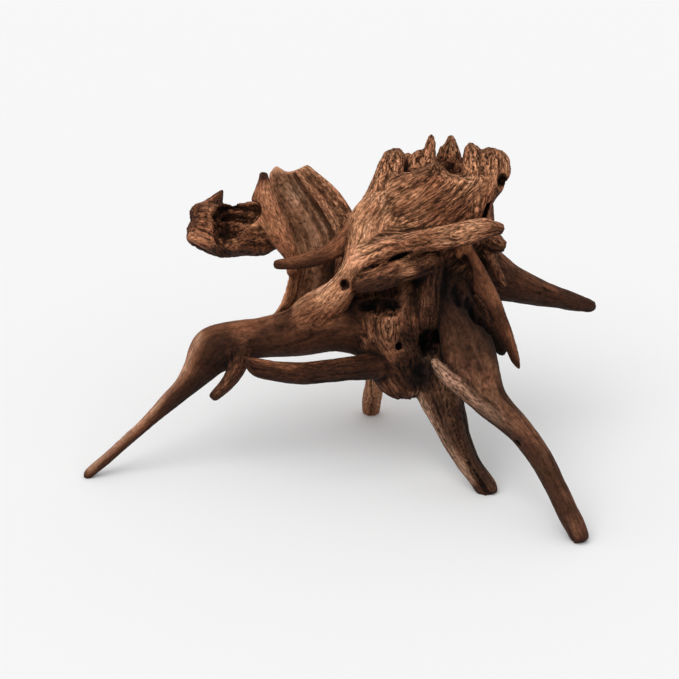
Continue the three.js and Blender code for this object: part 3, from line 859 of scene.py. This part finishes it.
# Painted light and shade: wood that faces up is painted paler by this much, wood that faces
# down darker, and wood that faces up by this share stays as it is.
PAINTED_TOP_LIGHT = 0.4
EVEN_SLOPE = 0.3
# How far round the eye's line of sight a place on the skin is looked for.
SIGHT_WIDTH = 2.5

# Spots painted lighter or darker: [right, up] of the place as the eye meets it from the front,
# how far it reaches, and how much lighter or darker the wood is there. The darker spots are
# painted shade in hollows, recesses and under overhangs, and most lighter ones are painted light;
# the knot on the hip is the wood's own lighter tone.
SHADE_AND_TONE_SPOTS = {
    "under the lobe": ([36, 34], 13, -0.9),
    "recess": ([18, 28], 11, -0.8),
    "behind the leg splinter": ([65, -32], 8, -0.8),
    "beside the pillar": ([38, 98], 8, -0.25),
    "between lobe and column": ([58, 52], 9, 0.5),
    "top of the blade": ([92, 66], 7, 0.5),
    "dark hole": ([71.5, -3.5], 12, -0.9),
    "under the beam": ([92, 44], 18, -0.5),
    "under the hip": ([62, -25], 14, -0.8),
    "beside the knot pit": ([57, 2], 10, -0.45),
    "pitted patch on the pillar": ([26, 104], 9, -0.4),
    "darker patch on the trunk": ([52, 104], 9, -0.15),
    "above the lower spike": ([22, -22], 10, -0.3),
    "behind the upper spike": ([-7, 58], 9, -0.5),
    "low in the shell": ([-26, 84], 11, -0.35),
    "top of the shell": ([-33, 118], 12, 0.25),
    "foot of the neck": ([-50, 75], 10, 0.2),
    "right side of the crown": ([110, 106], 11, 0.2),
    "in the cup": ([-88, 98], 16, -0.25),
    "low in the cup": ([-90, 84], 9, -0.35),
    "knobs under the cup": ([-92, 69], 6, -0.4),
    "knob of the shell": ([-60, 132], 4, -0.6),
    "crater": ([88, 138], 9, -0.4),
    "knot on the hip": ([38, 10], 7, 0.12),
    "ridge above the knot": ([44, 26], 7, 0.15),
    "shoulder": ([-28, 25], 15, -0.35),
    "below the knot hole": ([2, 32], 10, 0.1),
    "end of the beam": ([112, 92], 12, 0.12),
    "left face of the crown": ([34, 124], 12, 0.08),
    "tooth": ([108, 145], 8, 0.15),
    "edge of the neck": ([-50, 92], 9, 0.12),
    "foot of the pillar": ([22, 74], 18, 0.3),
    "inner wall of the cup": ([-64, 88], 9, 0.2),
}
STRIP_STEPS = 60
# Strips painted another tone: [right, up] along each, how far it reaches to each side, and how
# much lighter and how much more bleached the wood is there. Most darker strips are painted shade
# on shaded faces and between parts. The lower edge of the beam is painted light, and so is the
# upper edge of the left leg, which is also bleached. The pale crests of the splinter and the middle
# leg are the wood's own bleaching.
SHADE_AND_TONE_STRIPS = {
    "crest of the leg splinter": (
        [[66, -12], [80, -25], [95, -37], [112, -50], [126, -62]], 5, 0.12, 0.6,
    ),
    "upper edge of the left leg": (
        [[-112, 3], [-120, -14], [-128, -29], [-151, -56], [-182, -87], [-200, -103]], 3.6, 0.46, 0.7,
    ),
    "lower face of the left leg": (
        [[-94, -4], [-100, -20], [-112, -36], [-130, -56]], 11, -0.45, 0,
    ),
    "top of the front leg": ([[96, 12], [104, -8], [110, -24]], 15, -0.14, 0),
    "between the front leg and the blade": (
        [[84, 38], [94, 29], [106, 19], [118, 4], [128, -9]], 6.5, -0.8, 0,
    ),
    "lower edge of the beam": ([[56, 70], [70, 73], [88, 76], [104, 80]], 4.5, 0.35, 0),
    "right side of the middle leg": ([[99, -58], [106, -78], [113, -96]], 6, -0.4, 0),
    "left edge of the middle leg": ([[62, -44], [76, -70], [90, -92], [104, -114]], 4.5, 0.7, 0.8),
}


def as_seen(points):
    """The points as [right, up, near] as the eye meets them from the front."""
    offset = points - MIDDLE
    near = offset @ TO_EYE
    scale = true_scale(near)
    return offset @ ACROSS / scale, offset @ EYE_UP / scale, near


def place_on_skin(points, right, up):
    """The place on the skin that the eye meets there from the front."""
    points_right, points_up, near = as_seen(points)
    aside = np.hypot(points_right - right, points_up - up)
    return points[np.where(aside < SIGHT_WIDTH, near, -np.inf).argmax()]


def blended(limbs, order, share, quality):
    """One quality of the limbs at each point, mixed over the three nearest."""
    values = np.array([getattr(limb, quality) for limb in limbs])
    return (values[order] * share).sum(1)


def color_places(made, limbs):
    """Stores what the finish needs at each point: the wood's tone with the painted light and shade
    added, how grey, how grained and how rough it is, its ridges and its deep hollows, which the
    finish paints lighter and darker as painted light and shade."""
    points, edges = points_and_edges(made)
    outside, grain = limb_reach(points, limbs)
    order, share = nearest_three(outside, blend=4.0)
    store_grain(made.data, outside, grain, order)
    tone = blended(limbs, order, share, "tone")
    grey = blended(limbs, order, share, "grey")
    for middle, size, change in SHADE_AND_TONE_SPOTS.values():
        away = np.linalg.norm(points - place_on_skin(points, *middle), axis=1)
        tone += change * np.exp(-((away / size) ** 2))
    right, up, _ = as_seen(points)
    for spots, size, change, bleaching in SHADE_AND_TONE_STRIPS.values():
        route = smooth_route(spots, np.linspace(0, 1, STRIP_STEPS))
        away = np.min([np.hypot(right - x, up - y) for x, y in route], axis=0)
        share_here = np.exp(-((away / size) ** 2))
        tone += change * share_here
        grey += bleaching * share_here
    normals = outward(made)
    fine = relaxed(points, edges, amount=0.5, rounds=3)
    smooth = relaxed(fine, edges, amount=0.5, rounds=9)
    smoother = relaxed(smooth, edges, amount=0.6, rounds=120)
    fine_ridge, broad_ridge, rise = (
        ((points - softer) * normals).sum(1) for softer in (fine, smooth, smoother)
    )
    hollow = -rise / FULL_HOLLOW
    # How far each place faces up, to paint tops paler and undersides darker as painted light and shade.
    upward = relaxed(normals, edges, amount=0.5, rounds=20)[:, 2]
    for name, values in {
        "tone": tone + PAINTED_TOP_LIGHT * (upward - EVEN_SLOPE),
        "grey": grey,
        "grained": blended(limbs, order, share, "grained"),
        "rough": blended(limbs, order, share, "rough"),
        "ridge": np.clip(FINE_RIDGE * fine_ridge + BROAD_RIDGE * broad_ridge, -1, 1),
        "hollow": np.clip(hollow * blended(limbs, order, share, "shade"), 0, 1),
    }.items():
        store(made.data, name, "FLOAT", "POINT", values)


def store_grain(mesh, outside, grain, order):
    """Stores each face's place in the grain of its two nearest limbs, and how they mix."""
    corner_point = read(mesh.loops, "vertex_index", np.int32)
    starts = read(mesh.polygons, "loop_start", np.int32)
    totals = read(mesh.polygons, "loop_total", np.int32)
    first, second = np.repeat(order[corner_point[starts]][:, :2], totals, axis=0).T
    for name, limb in (("grain_first", first), ("grain_second", second)):
        apart = (limb * LIMB_SHIFT)[:, None]
        store(mesh, name, "FLOAT_VECTOR", "CORNER", grain[corner_point, limb] + apart)
    lead = outside[corner_point, second] - outside[corner_point, first]
    store(mesh, "grain_mix", "FLOAT", "CORNER", np.clip(0.5 - lead / GRAIN_BLEND, 0, 1))


def store(mesh, name, kind, domain, values):
    attribute = mesh.attributes.new(name, kind, domain)
    field = "vector" if kind == "FLOAT_VECTOR" else "value"
    attribute.data.foreach_set(field, np.ascontiguousarray(values, np.float32).ravel())


def linear(hex_color):
    """An sRGB hex colour as linear red, green and blue with full alpha."""
    channels = [int(hex_color[i:i + 2], 16) / 255 for i in (1, 3, 5)]
    return [c / 12.92 if c <= 0.04045 else ((c + 0.055) / 1.055) ** 2.4 for c in channels] + [1]


def add(tree, kind, inputs=None, output=0, **settings):
    """Adds a shader node with its settings and its inputs or links, and gives back one output."""
    node = tree.nodes.new("ShaderNode" + kind)
    for name, value in settings.items():
        setattr(node, name, value)
    for key, value in (inputs or {}).items():
        if isinstance(value, bpy.types.NodeSocket):
            tree.links.new(value, node.inputs[key])
        else:
            node.inputs[key].default_value = value
    return node.outputs[output]


# The marks that show as colour, in millimetres: how wide and how long each is along the grain.
# The fibres of root wood are 0.1 to 0.3 mm wide and its drying cracks 0.1 to 0.5 mm. Those are
# too fine to show where a pixel is 0.8 mm, so both are drawn about 1 mm wide.
FIBRE_MARK = (1.2, 4.0)
STREAK_MARK = (2.4, 24.0)
BAND_MARK = (11.0, 70.0)
CRACK_MARK = (4.2, 45.0)
SHORT_CRACK_MARK = (2.4, 16.0)
PIT_MARK = (1.6, 2.8)
# Stains of soil and tannin are some 30 mm across, and redder or more olive patches some 20 mm.
STAIN_SIZE = 30.0
HUE_SIZE = 21.0
# The wood's colours from dark to light, where it is fresh and where sun and rain have bleached it.
FRESH_WOOD = [(0.0, "#3A2011"), (0.4, "#7E533B"), (0.8, "#B38466"), (1.0, "#D1A58A")]
BLEACHED_WOOD = [(0.0, "#382920"), (0.4, "#745B4D"), (0.8, "#A98A79"), (1.0, "#C6AB9D")]
# How high the fine marks stand, in millimetres.
RELIEF = 1.7


def weathered_wood():
    """Bare root wood, washed by water and dried in the sun. It shows fine fibres and dark cracks. Its
    worn dry ridges are lighter, as worn wood and as painted highlight, and its creases and hollows
    are painted nearly black as painted shade. It has no coat, and only the worn ridges shine a little."""
    material = bpy.data.materials.new("weathered_root_wood")
    material.use_nodes = True
    tree = material.node_tree
    shader = tree.nodes["Principled BSDF"]
    grains = [
        add(tree, "Attribute", output="Vector", attribute_name=name)
        for name in ("grain_first", "grain_second")
    ]
    grain_mix, tone, grey, grained, rough, ridge, hollow = [
        add(tree, "Attribute", output="Fac", attribute_name=name)
        for name in ("grain_mix", "tone", "grey", "grained", "rough", "ridge", "hollow")
    ]

    def along_grain(mark, detail):
        """Marks of that width and length along the grain of the two nearest limbs, mixed."""
        width, length = mark
        patterns = []
        for grain in grains:
            spot = add(tree, "VectorMath", {
                0: grain, 1: [1 / width, 1 / width, 1 / length],
            }, operation="MULTIPLY")
            patterns.append(add(tree, "TexNoise", {
                "Vector": spot, "Scale": 1.0, "Detail": detail, "Roughness": 0.62,
            }))
        return add(tree, "Mix", {0: grain_mix, 2: patterns[0], 3: patterns[1]})

    fibres = along_grain(FIBRE_MARK, 1.0)
    streaks = along_grain(STREAK_MARK, 4.0)
    bands = along_grain(BAND_MARK, 2.0)
    pits = along_grain(PIT_MARK, 0.0)
    # A crack is where a pattern passes its middle value: there the fold at 0.5 has its peak.
    long_cracks, short_cracks = [
        add(tree, "Math", {0: along_grain(mark, 2.0), 1: 0.5}, operation="PINGPONG")
        for mark in (CRACK_MARK, SHORT_CRACK_MARK)
    ]
    # Drying has opened cracks only here and there, so that no crack runs on for long.
    opened = add(tree, "MapRange", {0: bands, 1: 0.45, 2: 0.58})
    cracked = add(tree, "Math", {0: opened, 1: grained}, operation="MULTIPLY")
    stain, hue = [
        add(tree, "TexNoise", {
            "Vector": add(tree, "TexCoord", output="Object"),
            "Scale": 1 / (size * MM), "Detail": 3.0,
        })
        for size in (STAIN_SIZE, HUE_SIZE)
    ]

    lightness = tone
    for pattern, change in ((stain, 0.16), (bands, 0.1)):
        part = add(tree, "MapRange", {0: pattern, 1: 0.32, 2: 0.68, 3: -change, 4: change})
        lightness = add(tree, "Math", {0: lightness, 1: part}, operation="ADD")
    woods = []
    for stops in (FRESH_WOOD, BLEACHED_WOOD):
        wood = add(tree, "ValToRGB", {"Fac": lightness})
        elements = wood.node.color_ramp.elements
        while len(elements) < len(stops):
            elements.new(0.5)
        for element, (position, hex_color) in zip(elements, stops):
            element.position = position
            element.color = linear(hex_color)
        woods.append(wood)
    dry = add(tree, "MapRange", {0: streaks, 1: 0.35, 2: 0.6, 3: 0.75, 4: 1.15})
    bleached = add(tree, "Math", {0: grey, 1: dry}, operation="MULTIPLY")
    wood = add(tree, "Mix", {0: bleached, 6: woods[0], 7: woods[1]}, 2, data_type="RGBA")

    # How each mark shades the wood: where its pattern is low and where it is high, the shade at
    # each, how strongly it shows, and how far it stands up, as a share of RELIEF. The first three
    # rows are painted light and shade: ridges painted lighter and creases darker, hollows painted
    # nearly black, and the painted shade spots and strips made darker still.
    shade = 1.0
    height = 0.0
    for pattern, low, high, shade_low, shade_high, strength, rise in (
        # Painted highlight on ridges, partly worn wood, and painted shade in creases.
        (ridge, -0.7, 0.8, 0.28, 1.5, 1.0, 0.0),
        # Painted shade in the hollows.
        (hollow, 0.02, 0.6, 1.0, 0.06, 1.0, 0.0),
        # Tones below zero, mostly from the painted shade spots and strips, are painted darker still.
        (tone, -0.8, 0.0, 0.2, 1.0, 1.0, 0.0),
        (streaks, 0.36, 0.64, 0.6, 1.4, grained, 0.5),
        (fibres, 0.34, 0.66, 0.3, 1.75, grained, 0.4),
        (long_cracks, 0.475, 0.5, 1.0, 0.35, cracked, 0.5),
        (short_cracks, 0.48, 0.5, 1.0, 0.5, cracked, 0.3),
        (pits, 0.3, 0.44, 0.4, 1.05, rough, 0.4),
    ):
        change = add(tree, "MapRange", {
            0: pattern, 1: low, 2: high, 3: shade_low - 1, 4: shade_high - 1,
        })
        share = add(tree, "Math", {0: change, 1: strength, 2: 1.0}, operation="MULTIPLY_ADD")
        shade = add(tree, "Math", {0: shade, 1: share}, operation="MULTIPLY")
        height = add(tree, "Math", {0: share, 1: rise, 2: height}, operation="MULTIPLY_ADD")
    # The shade, painted shade included, turns redder as it darkens: light that comes back out of a
    # dark pore has lost more of its blue than its red.
    red, blue = [
        add(tree, "Math", {0: shade, 1: power}, operation="POWER") for power in (0.95, 1.07)
    ]
    reddened_shade = add(tree, "CombineColor", {0: red, 1: shade, 2: blue})
    # Iron in the soil has turned some of it a little redder, and algae some of it more olive.
    tint = add(tree, "Mix", {
        0: hue, 6: linear("#FFDFD3"), 7: linear("#F8F8E4"),
    }, 2, data_type="RGBA")
    for layer in (reddened_shade, tint):
        wood = add(tree, "Mix", {
            0: 1.0, 6: wood, 7: layer,
        }, 2, data_type="RGBA", blend_type="MULTIPLY")
    roughness = add(tree, "MapRange", {0: ridge, 1: -0.5, 2: 0.8, 3: 0.92, 4: 0.68})
    bump = add(tree, "Bump", {"Height": height, "Strength": 1.0, "Distance": RELIEF * MM})
    tree.links.new(wood, shader.inputs["Base Color"])
    tree.links.new(roughness, shader.inputs["Roughness"])
    tree.links.new(bump, shader.inputs["Normal"])
    shader.inputs["Specular IOR Level"].default_value = 0.15
    return material


# The floor reaches this many metres each way, past the edge of every picture from above it.
FLOOR_REACH = 12.0
# The way that the light from the softbox goes.
SOFTBOX_HEADING = (0.45, 0.4, -1.0)
SENSOR_WIDTH = 36


def pale_floor():
    """A plain pale floor, wide enough that its edge is out of the picture."""
    grid = bmesh.new()
    bmesh.ops.create_grid(grid, x_segments=1, y_segments=1, size=FLOOR_REACH)
    floor = mesh_object("floor", grid)
    material = bpy.data.materials.new("matt_white_paint")
    material.use_nodes = True
    shader = material.node_tree.nodes["Principled BSDF"]
    shader.inputs["Base Color"].default_value = linear("#F0F0F0")
    shader.inputs["Roughness"].default_value = 1.0
    shader.inputs["Specular IOR Level"].default_value = 0.0
    floor.data.materials.append(material)


def studio():
    """Soft light from all round, and a wide soft light from above and the front left."""
    world = bpy.data.worlds.new("soft_studio")
    bpy.context.scene.world = world
    world.use_nodes = True
    background = world.node_tree.nodes["Background"]
    background.inputs["Color"].default_value = (1, 1, 1, 1)
    background.inputs["Strength"].default_value = 0.8
    lamp = bpy.data.lights.new("wide_softbox", "SUN")
    lamp.angle = math.radians(50)
    lamp.energy = 1.0
    made = bpy.data.objects.new("wide_softbox", lamp)
    made.rotation_euler = Vector(SOFTBOX_HEADING).to_track_quat("-Z", "Y").to_euler()
    bpy.context.scene.collection.objects.link(made)
    bpy.context.scene.view_settings.view_transform = "Standard"


def eye():
    """The camera, where the photograph was taken from."""
    lens = bpy.data.cameras.new("eye")
    lens.sensor_width = SENSOR_WIDTH
    lens.lens = SENSOR_WIDTH * EYE_DISTANCE / PICTURE_WIDTH
    lens.clip_end = 20
    made = bpy.data.objects.new("eye", lens)
    made.location = Vector((MIDDLE + EYE_DISTANCE * TO_EYE) * MM)
    made.rotation_euler = Vector(-TO_EYE).to_track_quat("-Z", "Y").to_euler()
    bpy.context.scene.collection.objects.link(made)
    bpy.context.scene.camera = made


piece = driftwood()
piece.data.materials.append(weathered_wood())
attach(piece, "root")
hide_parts("driftwood")
pale_floor()
studio()
eye()
